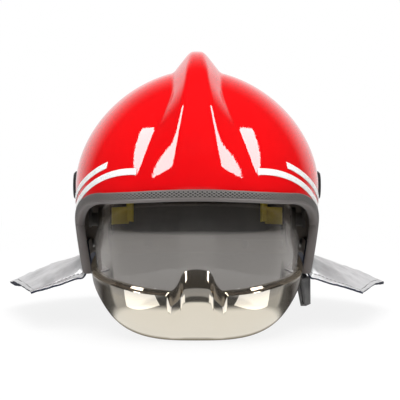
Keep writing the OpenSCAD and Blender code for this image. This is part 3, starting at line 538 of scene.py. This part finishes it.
gold_coat, tree, shader = finish("smoky_gold_visor_coat", (0.5, 0.46, 0.41), 0.03, 0.9)
drawn = tree.nodes.new("ShaderNodeUVMap").outputs["UV"]
split = join(tree, "ShaderNodeSeparateXYZ", drawn)
down = figured(tree, "SUBTRACT", 1.0, split.outputs["Y"])
coat = ramp(tree, down, (0, (0.34, 0.28, 0.22)), (0.14, (0.60, 0.57, 0.54)),
    (0.355, (0.62, 0.59, 0.56)), (0.37, (0.46, 0.39, 0.30)), (0.53, (0.46, 0.39, 0.30)),
    (0.545, (0.62, 0.58, 0.52)), (0.64, (0.86, 0.79, 0.66)), (0.96, (0.88, 0.82, 0.70)),
    (0.985, (0.30, 0.26, 0.19)), (1, (0.16, 0.13, 0.09)))
# Painted shade: towards both ends, the band's colour is mixed with a dark brown that stands in for
# the shade its flanks show.
outward = figured(tree, "ABSOLUTE", figured(tree, "SUBTRACT", split.outputs["X"], 0.5))
flank_shade_ramp = ramp(tree, outward, (0.31, 0), (0.36, 1), (0.45, 1), (0.475, 0))
band = join(tree, "ShaderNodeMapRange", down, band_start, 0.60, 0.0, 1.0)
flank_shade_mask = figured(tree, "MULTIPLY", flank_shade_ramp, band)
coat_and_painted_shade = join(tree, "ShaderNodeMixRGB", flank_shade_mask, coat, (0.13, 0.10, 0.075, 1))
dense = ramp(tree, down, (0.10, 0.30), (0.2, 0.64), (0.3, 0.83), (0.5, 0.95))
hand_to_hand = ramp(tree, split.outputs["X"], (0, 0.35), (0.2, 0.96), (0.8, 0.96), (1, 0.35))
for shade, socket in ((coat_and_painted_shade, "Base Color"), (dense, "Alpha"), (hand_to_hand, "Metallic")):
    tree.links.new(shade.outputs["Color"], shader.inputs[socket])
visor.data.materials.append(gold_coat)
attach(visor, "visor")
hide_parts("visor")

# Ears of the visor: a thick round boss moulded on each side of the pane, which runs into it.
# Each has a hole for the pin of its bracket, and rounded edges.
ear_r, ear_thick, ear_wall, ear_x = 0.013, 0.0045, 0.0088, 0.10075
ear_moulding, tree, shader = finish("visor_ear_moulding", (0.10, 0.09, 0.075), 0.3)
ripple(tree, shader, 700, 0.1, 0.0002)

def pick(piece, wanted):
    """Opens a piece in edit mode, with the faces selected whose normal passes a test."""
    bpy.ops.object.mode_set(mode="EDIT")
    bpy.ops.mesh.select_mode(type="FACE")
    bpy.ops.mesh.select_all(action="DESELECT")
    bpy.ops.object.mode_set(mode="OBJECT")
    for face in piece.data.polygons:
        face.select = wanted(face.normal)
    bpy.ops.object.mode_set(mode="EDIT")

def soften(piece, width, segments=2, angle=30):
    """Rounds the edges that turn by more than the angle."""
    edge = piece.modifiers.new("edge", "BEVEL")
    edge.width, edge.segments = width, segments
    edge.limit_method = "ANGLE"
    edge.angle_limit = math.radians(angle)

for side, hand in hands:
    bpy.ops.object.select_all(action="DESELECT")
    bpy.ops.mesh.primitive_cylinder_add(vertices=96, radius=ear_r, depth=ear_thick,
        end_fill_type="NGON", location=(side * ear_x, 0, pivot_z / 1000),
        rotation=(0, math.pi / 2, 0))
    ear = bpy.context.object
    ear.name = ear.data.name = f"visor_ear_{hand}"
    bpy.ops.object.transform_apply(location=True, rotation=True, scale=True)
    pick(ear, lambda normal: abs(normal.x) > 0.9)
    bpy.ops.mesh.inset(thickness=ear_wall, use_individual=True)
    bpy.ops.mesh.bridge_edge_loops()
    bpy.ops.object.mode_set(mode="OBJECT")
    soften(ear, 0.0006)
    bpy.ops.object.modifier_apply(modifier="edge")
    bpy.ops.object.shade_smooth_by_angle(angle=math.radians(35))
    ear.data.materials.append(ear_moulding)
    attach(ear, "visor")

# Neck cape: aluminised cloth with a dark lining, studded inside the rim. It hangs open in
# loose folds, flares over the shoulders, and has a turned and stitched hem.
cape_start, cape_turn, cape_flare, cape_inset, cape_thick = 80, 200, 42, -6.6, 2.1
hem_half_w, hem_front, hem_back, hem_z, hem_power = 231, 150, 205, -118, 2.3
cape_long, cape_deep, stitch_inset = 0.66, 0.125, 0.0055
cape_cols, cape_rows, tucked_rows, tuck = 420, 70, 10, 0.14

def folded(az):
    """The loose folds round the cape, from -1 to 1."""
    return np.cos(np.radians(9 * (az - 180)))

def cape_point(az, turn, t):
    """Point of the hanging cloth, from the rim at t = 0 to the hem at 1."""
    root = shell_at(az, rim_z(az) - 3, cape_inset)
    spread = smooth((turn - cape_start) / cape_flare)
    x, y = plan_point(az, hem_half_w, hem_front, hem_back, hem_power)
    z = hem_z + 9 * (1 - spread) + 5 * folded(az) * spread
    hem = np.stack([x * (1 - 0.25 * (1 - spread)), y, z], -1)
    belly = (3 + 4 * smooth((turn - 110) / 30)) * np.sin(math.pi * t) * spread
    flap = np.clip((90 - turn) / 9, 0, 1)
    drop = flap * (12.5 * smooth(t / 0.13) * (1 - t) ** 1.1 + 1.2 * t)
    fall = root + (hem - root) * t[..., None]
    fall[..., 2] += belly * (1 + 0.5 * folded(az)) - drop
    return fall

def crumple(points, amount, size, seed):
    """Small random dents of cloth, the same in every run."""
    shift = Vector((seed * 7.3, seed * 3.1, seed * 5.7))
    dents = [noise.fractal(Vector(p) / size + shift, 0.7, 2.1, 3) for p in points]
    return np.array(dents) * amount

def cape_surface(u, v):
    az = cape_start + cape_turn * u
    turn = np.where(az > 180, 360 - az, az)
    t = np.clip((v - tuck) / (1 - tuck), 0, 1)
    held = shell_at(az, rim_z(az) - 3 + 14 * (1 - np.clip(v / tuck, 0, 1)), cape_inset)
    place = np.where((v < tuck)[:, None], held, cape_point(az, turn, t))
    loose = np.clip((v - tuck) * 5, 0, 1)
    calm = 0.35 + 0.65 * smooth((turn - 95) / 25)
    pleats = smooth((96 - turn) / 10) * smooth((0.42 - v) / 0.2)
    place[:, 2] += crumple(place, 2.6, 34, 3) * loose * calm
    place[:, 2] += crumple(place, 0.8, 9, 8) * loose * (calm + 2.2 * pleats)
    return place

cape = laid_grid("neck_cape_cloth", cape_cols, cape_rows, cape_surface)
walled(cape, cape_thick / 1000)
silver_cloth, tree, shader = finish("aluminised_cape_cloth", (0.70, 0.70, 0.71), 0.36, 0.5)
place = tree.nodes.new("ShaderNodeTexCoord").outputs["Object"]
creases = pattern(tree, "Noise", place, 42, 5)
creases.inputs["Roughness"].default_value = 0.55
ridges = creases.outputs["Fac"]
weave = pattern(tree, "Voronoi", place, 900, 0).outputs["Distance"]
tones = ramp(tree, ridges, (0.3, (0.50, 0.50, 0.505)), (0.58, (0.70, 0.70, 0.71)))
creased = bumped(tree, ridges, 0.3, 0.002)
fine = bumped(tree, weave, 0.15, 0.0002, under=creased)

# A row of lock stitch runs round the hem and both ends, 5.5 mm inside the edge.
drawn = tree.nodes.new("ShaderNodeUVMap").outputs["UV"]
split = join(tree, "ShaderNodeSeparateXYZ", drawn)
along = figured(tree, "MULTIPLY", split.outputs["X"], cape_long)
from_end = figured(tree, "MINIMUM", along, figured(tree, "SUBTRACT", cape_long, along))
from_hem = figured(tree, "MULTIPLY", split.outputs["Y"], cape_deep)
seams = []
for inward in (from_end, from_hem):
    off_line = figured(tree, "ABSOLUTE", figured(tree, "SUBTRACT", inward, stitch_inset))
    seams.append(join(tree, "ShaderNodeMapRange", off_line, 0.0004, 0.0009, 1.0, 0.0))
threads = pattern(tree, "Wave", drawn, 11, bands_direction="DIAGONAL").outputs["Fac"]
dashes = join(tree, "ShaderNodeMapRange", threads, 0.25, 0.5, 0.35, 1.0)
stitched = figured(tree, "MULTIPLY", figured(tree, "MAXIMUM", *seams), dashes)
silver = join(tree, "ShaderNodeMixRGB", stitched, tones, (0.22, 0.215, 0.22, 1))
tree.links.new(silver.outputs["Color"], shader.inputs["Base Color"])
pulled = bumped(tree, stitched.outputs[0], 0.6, 0.0006, shader.inputs["Normal"], fine)
pulled.invert = True

navy_lining, tree, shader = finish("navy_cape_lining", (0.018, 0.022, 0.045), 0.8)
ripple(tree, shader, 1200, 0.4, 0.0003)
loop_strip, tree, shader = finish("grey_loop_strip", (0.36, 0.32, 0.28), 0.95)
ripple(tree, shader, 1500, 0.8, 0.0006)
for cloth in (silver_cloth, navy_lining, loop_strip):
    cape.data.materials.append(cloth)
face_count, strip_start = cape_cols * cape_rows, cape_cols * (cape_rows - tucked_rows)
for face in cape.data.polygons[face_count:]:
    face.material_index = 2 if strip_start <= face.index - face_count < face_count else 1
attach(cape, "helmet")
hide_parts("neck_cape")

# Side caps and pivot brackets: moulded nylon. The cap's stem goes through the shell and holds
# the bracket inside it, whose pin the visor turns on. The caps have a fine spark-eroded grain.
def repaint(name, material, width=0.0):
    """Gives a node of the solids its real finish, and softens its edges where width is set."""
    for holder in nodes[name].material_slots:
        holder.material = material
    if width:
        soften(nodes[name], width, angle=40)

cap_nylon = moulded("grained_black_nylon", (0.018, 0.018, 0.02), 0.42,
    (900, 0.35, 0.0002), (60, (0.014, 0.014, 0.016), (0.026, 0.026, 0.028)))
bracket_nylon = moulded("glass_filled_nylon", (0.03, 0.03, 0.03), 0.5,
    (500, 0.4, 0.0003), (90, (0.10, 0.09, 0.08), (0.17, 0.155, 0.135)))
for side, hand in hands:
    repaint(f"side_cap_{hand}", cap_nylon)
    repaint(f"pivot_bracket_{hand}", bracket_nylon)

# Impact liner: polyurethane foam moulded in one piece, dark and slightly porous, with bosses
# on its sides and back that bear on the shell behind the raised visor.
liner_foam, tree, shader = finish("moulded_liner_foam", (0.03, 0.026, 0.022), 0.85)
place = tree.nodes.new("ShaderNodeTexCoord").outputs["Object"]
pores = pattern(tree, "Voronoi", place, 420, 0).outputs["Distance"]
bumped(tree, pores, 0.5, 0.0006, shader.inputs["Normal"])
mottle(tree, shader, place, 22, (0.08, 0.067, 0.055), (0.13, 0.11, 0.09))
repaint("impact_liner", liner_foam)

# Crown pad: a foam disc sewn into brushed lining cloth, quilted into eight sectors and a ring,
# lying against the inside of the liner.
liner_half_w, liner_front, liner_back, liner_top, liner_power = 90, 120, 124, 94, 2.2
pad_seat, pad_thick, pad_spread, ring_spread = 10.8, 5, 48, 20

def liner_at(az, z, off):
    """Point of the liner's outer face at an azimuth and a height, off mm outside it."""
    top = liner_top + off
    dome = (1 - np.clip(z / top, 0, 1) ** liner_power) ** (1 / liner_power)
    share = np.where(z > 0, dome, 1)
    x, y = plan_point(az, liner_half_w + off, liner_front + off, liner_back + off, liner_power)
    return np.stack([x * share, y * share, z + 0 * x], -1)

def brushed_cloth(name, dark, light):
    """Knitted lining with a short nap, its loops in the relief and its wear in the colour."""
    cloth, tree, shader = finish(name, light, 0.92,
        more={"Sheen Weight": 0.35, "Sheen Roughness": 0.5})
    place = tree.nodes.new("ShaderNodeTexCoord").outputs["Object"]
    loops = pattern(tree, "Voronoi", place, 1100, 0).outputs["Distance"]
    nap = pattern(tree, "Noise", place, 700, 4).outputs["Fac"]
    both = figured(tree, "ADD", loops, nap)
    bumped(tree, both.outputs[0], 0.6, 0.0005, shader.inputs["Normal"])
    mottle(tree, shader, place, 35, dark, light)
    return cloth

def crown_pad_surface(u, v):
    az, w = 360 * u, 2 * v - 1
    spread = np.radians(pad_spread * (1 - np.abs(w)))
    edge = np.clip(np.abs(w) / 0.09, 0, 1)
    puff = np.sign(w) * np.sqrt(1 - (1 - edge) ** 2)
    sector = np.abs((az + 22.5) % 45 - 22.5) * np.sin(spread) * 1.6
    ring = np.abs(np.degrees(spread) - ring_spread)
    radial = np.exp(-(sector / 1.3) ** 2) * (np.degrees(spread) > ring_spread - 1)
    seam = np.maximum(radial, np.exp(-(ring / 1.4) ** 2))
    depth = np.where(w > 0, 1.7 * seam * edge, 0)
    off = -pad_seat - pad_thick / 2 - puff * pad_thick / 2 + depth
    return liner_at(az, (liner_top + off) * np.cos(spread), off)

crown_pad = laid_grid("crown_pad_quilted", 192, 90, crown_pad_surface)
seal()
lining_cloth = brushed_cloth("brushed_crown_lining", (0.020, 0.017, 0.014), (0.045, 0.038, 0.030))
crown_pad.data.materials.append(lining_cloth)
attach(crown_pad, "helmet")
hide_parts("crown_pad")

# Brow pad and nape pad: strips of foam in the same cloth, clipped inside the headband. Each is
# stitched across every 22 mm, so that it follows the band.
band_half_w, band_half_l, band_power, band_z, band_high = 77, 100, 2.4, -44, 30
band_inset, band_pad_thick, stitch_pitch = 2.3, 7, 22

def band_pad(name, spread, low, high, back):
    """A pad that lies inside the headband, over spread degrees to each side of the middle."""
    def surface(u, v):
        turn = spread * (2 * u - 1)
        az = turn + (180 if back else 0)
        t = 2 * math.pi * v
        cap = (1 - np.abs(2 * u - 1) ** 26) ** 0.5
        along = np.abs((turn * 1.42 + stitch_pitch / 2) % stitch_pitch - stitch_pitch / 2)
        seam = 1 - 0.32 * np.exp(-(along / 1.3) ** 2)
        c, s = np.cos(t), np.sin(t)
        out = np.sign(c) * np.abs(c) ** 0.55 * band_pad_thick / 2 * cap
        out = np.where(c < 0, out * seam, out)
        rise = np.sign(s) * np.abs(s) ** 0.4 * (high - low) / 2 * (0.8 + 0.2 * cap)
        off = -band_inset - band_pad_thick / 2 + out
        x, y = plan_point(az, band_half_w + off, band_half_l + off, band_half_l + off, band_power)
        return np.stack([x, y, (low + high) / 2 + rise], -1)
    pad = laid_grid(name, 220, 48, surface)
    seal(ends=True)
    pad.data.materials.append(lining_cloth)
    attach(pad, "helmet")
    return pad

brow_pad = band_pad("brow_pad_cloth", 64, band_z + 1, band_z + band_high - 1, False)
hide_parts("brow_pad")
nape_pad = band_pad("nape_pad_cloth", 38, band_z + 2, band_z + band_high - 4, True)
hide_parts("nape_pad")

# Headband, ratchet and its knob: a polypropylene strip that closes at the nape on a toothed
# housing, drawn tight by the knob. The strip is plain, and the knob is grooved for a glove.
harness_black = moulded("black_harness_plastic", (0.022, 0.021, 0.022), 0.45,
    (1100, 0.3, 0.00015), (40, (0.017, 0.017, 0.018), (0.032, 0.031, 0.032)))
for name in ("headband", "ratchet_housing", "strap_anchor_left", "strap_anchor_right"):
    repaint(name, harness_black, 0.0004)
knob_black = moulded("ratchet_knob_plastic", (0.03, 0.029, 0.03), 0.38,
    (700, 0.35, 0.0002), (120, (0.024, 0.024, 0.025), (0.042, 0.041, 0.042)))
repaint("ratchet_knob", knob_black, 0.0006)

# Hangers: yellow acetal clips that carry the headband on the liner. The front ones have a
# broad tab each, which shows through the visor, half of it in the shade of its own fold.
clip_yellow = moulded("yellow_acetal", (0.85, 0.66, 0.05), 0.4,
    (600, 0.3, 0.0002), (70, (0.78, 0.58, 0.04), (0.90, 0.72, 0.07)))
for name in ("front_hanger_left", "front_hanger_right", "rear_hanger_left", "rear_hanger_right"):
    repaint(name, clip_yellow, 0.0004)

# Crown webbing and chin straps: woven polyester tape. Two tapes cross over the head, one over
# the other, hooked on the hangers. A tape hangs from each strap anchor to its half of the
# buckle. The weave and the bound edges run along each tape in its own map.
web_w, web_thick, web_lift, chin_w, chin_thick = 17.6, 1.4, 1.1, 19, 2

def woven_tape(name, dark, light, wide):
    """A twill tape: ribs along it, floats across it and a dense selvedge. UV is in metres."""
    cloth, tree, shader = finish(name, light, 0.8, more={"Sheen Weight": 0.25})
    drawn = tree.nodes.new("ShaderNodeUVMap").outputs["UV"]
    ribs = pattern(tree, "Wave", drawn, 260, bands_direction="Y").outputs["Fac"]
    floats = pattern(tree, "Wave", drawn, 330, bands_direction="DIAGONAL").outputs["Fac"]
    woven = figured(tree, "MULTIPLY", ribs, floats)
    split = join(tree, "ShaderNodeSeparateXYZ", drawn)
    from_middle = figured(tree, "SUBTRACT", split.outputs["Y"], wide / 2)
    selvedge = join(tree, "ShaderNodeMapRange", figured(tree, "ABSOLUTE", from_middle),
        wide / 2 - 0.0022, wide / 2 - 0.0016, 0.0, 0.5)
    height = figured(tree, "ADD", woven, selvedge)
    bumped(tree, height.outputs[0], 0.7, 0.0004, shader.inputs["Normal"])
    tones = ramp(tree, woven, (0, dark), (1, light))
    tree.links.new(tones.outputs["Color"], shader.inputs["Base Color"])
    return cloth

def tape_along(name, path, sides, wide, thick, material):
    """A flat tape laid along a path in millimetres. sides are its directions of width."""
    run = run_along(path)
    def surface(u, v):
        at = u * run[-1]
        centre = np.stack([np.interp(at, run, path[:, k]) for k in range(3)], -1)
        side = np.stack([np.interp(at, run, sides[:, k]) for k in range(3)], -1)
        side /= np.linalg.norm(side, axis=-1, keepdims=True)
        return centre + side * ((v - 0.5) * wide)[:, None]
    tape = laid_grid(name, 160, 12, surface)
    metre_map(tape, run[-1], wide)
    walled(tape, thick / 1000, side=0)
    soften(tape, 0.0003)
    bpy.ops.object.modifier_apply(modifier="edge")
    bpy.ops.object.shade_smooth_by_angle(angle=math.radians(50))
    tape.data.materials.append(material)
    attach(tape, "helmet")
    return tape

crown_weave = woven_tape("black_crown_webbing", (0.012, 0.012, 0.014), (0.04, 0.04, 0.045), 0.018)
hook_x, hook_y = plan_point(np.array(56.0), band_half_w, band_half_l, band_half_l, band_power)
web_span, web_low, web_top = math.hypot(hook_x, hook_y) - 1.2, -12, 72
for level, side in enumerate((-1, 1)):
    turn = math.atan2(side * hook_y, hook_x)
    a = np.radians(np.linspace(0, 180, 61))
    crossing = smooth((26 - web_span * np.abs(np.cos(a))) / 10)
    out = (web_span - 0.75) * np.cos(a)
    arch = web_low + (web_top - 0.75 - web_low) * np.sin(a)
    path = np.stack([out * math.cos(turn), out * math.sin(turn),
        arch + (web_lift if level else -web_lift) * crossing], -1)
    across = np.tile([-math.sin(turn), math.cos(turn), 0], (61, 1))
    tape_along(f"crown_tape_{level + 1}", path, across,
        web_w, web_thick, crown_weave)
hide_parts("crown_webbing")

anchor_x, anchor_y, anchor_z = 89.19, 34, -26
strap_top = np.array([anchor_x + 4.3, anchor_y - 8, anchor_z - 24])
socket_top = strap_top + (15.5, -56, -45.5)
plug_top = strap_top + (-12, -44, -50.5)
socket_turn = math.radians(-30)
chin_weave = woven_tape("black_chin_webbing", (0.010, 0.010, 0.012), (0.035, 0.035, 0.04), 0.019)
for side, hand, end, turn in (
        (1, "right", socket_top - (0, 0, 0.5), socket_turn), (-1, "left", plug_top, 0)):
    t = np.linspace(0, 1, 40)
    way = end + (0, 0, 0.5) - strap_top
    fall = strap_top + np.stack([way[0] * t ** 2, way[1] * t ** 1.4, way[2] * t], -1)
    path = np.concatenate([[strap_top + (0, 0, 6)], fall])
    path[:, 0] *= side
    twist = turn * np.concatenate([[0], smooth((t - 0.3) / 0.7)])
    across = np.stack([-np.sin(twist), np.cos(twist), 0 * twist], -1)
    strap = tape_along(f"chin_tape_{hand}", path, across, chin_w, chin_thick, chin_weave)
    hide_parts(f"chin_strap_{hand}")

# Buckle: grey acetal, its socket on the right tail and its three-pronged plug on the left. The
# socket is moulded hollow, narrows to its mouth, and has dished faces and a slot in each edge.
socket_size, socket_wall, socket_depth = (0.0104, 0.0236, 0.0285), 0.0016, 0.019
buckle_grey = moulded("dark_grey_acetal", (0.10, 0.098, 0.098), 0.4,
    (800, 0.3, 0.0002), (80, (0.088, 0.086, 0.086), (0.128, 0.125, 0.124)))
repaint("buckle_plug", buckle_grey, 0.0008)

bpy.ops.object.select_all(action="DESELECT")
bpy.ops.mesh.primitive_cube_add(size=1, location=(0, 0, -socket_size[2] / 2))
socket = bpy.context.object
socket.name = socket.data.name = "buckle_socket_body"
socket.scale = socket_size
bpy.ops.object.transform_apply(location=True, rotation=True, scale=True)

pick(socket, lambda normal: normal.z < -0.9)
bpy.ops.transform.resize(value=(0.60, 0.46, 1))
bpy.ops.mesh.inset(thickness=socket_wall)
bpy.ops.mesh.extrude_region_move(TRANSFORM_OT_translate={"value": (0, 0, socket_depth)})
pick(socket, lambda normal: normal.z > 0.99)
bpy.ops.transform.resize(value=(0.72, 0.86, 1))
for side in (-1, 1):
    pick(socket, lambda normal: normal.x * side > 0.95)
    bpy.ops.mesh.inset(thickness=0.0030)
    bpy.ops.mesh.inset(thickness=0.0008, depth=-0.0008)
    pick(socket, lambda normal: normal.y * side > 0.9)
    bpy.ops.mesh.inset(thickness=0.0022)
    bpy.ops.mesh.inset(thickness=0.0003, depth=-0.0016)
bpy.ops.object.mode_set(mode="OBJECT")
soften(socket, 0.0007, 3, 28)
bpy.ops.object.modifier_apply(modifier="edge")
socket.rotation_euler = (math.radians(3), math.radians(-5), socket_turn)
socket.location = Vector(socket_top) / 1000
bpy.ops.object.transform_apply(location=True, rotation=True, scale=True)
bpy.ops.object.shade_smooth_by_angle(angle=math.radians(35))
socket.data.materials.append(buckle_grey)
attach(socket, "helmet")
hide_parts("buckle_socket")

# Press studs: nickel-plated brass caps that hold the cape inside the rim. The plating has gone
# dull in patches, which shows in its gloss and not in its colour.
stud_nickel = moulded("nickel_plated_studs", (0.30, 0.29, 0.28), 0.5,
    (900, 0.2, 0.0002), (200, 0.5, 0.62), 1.0, "Roughness")
repaint("cape_studs", stud_nickel, 0.0003)
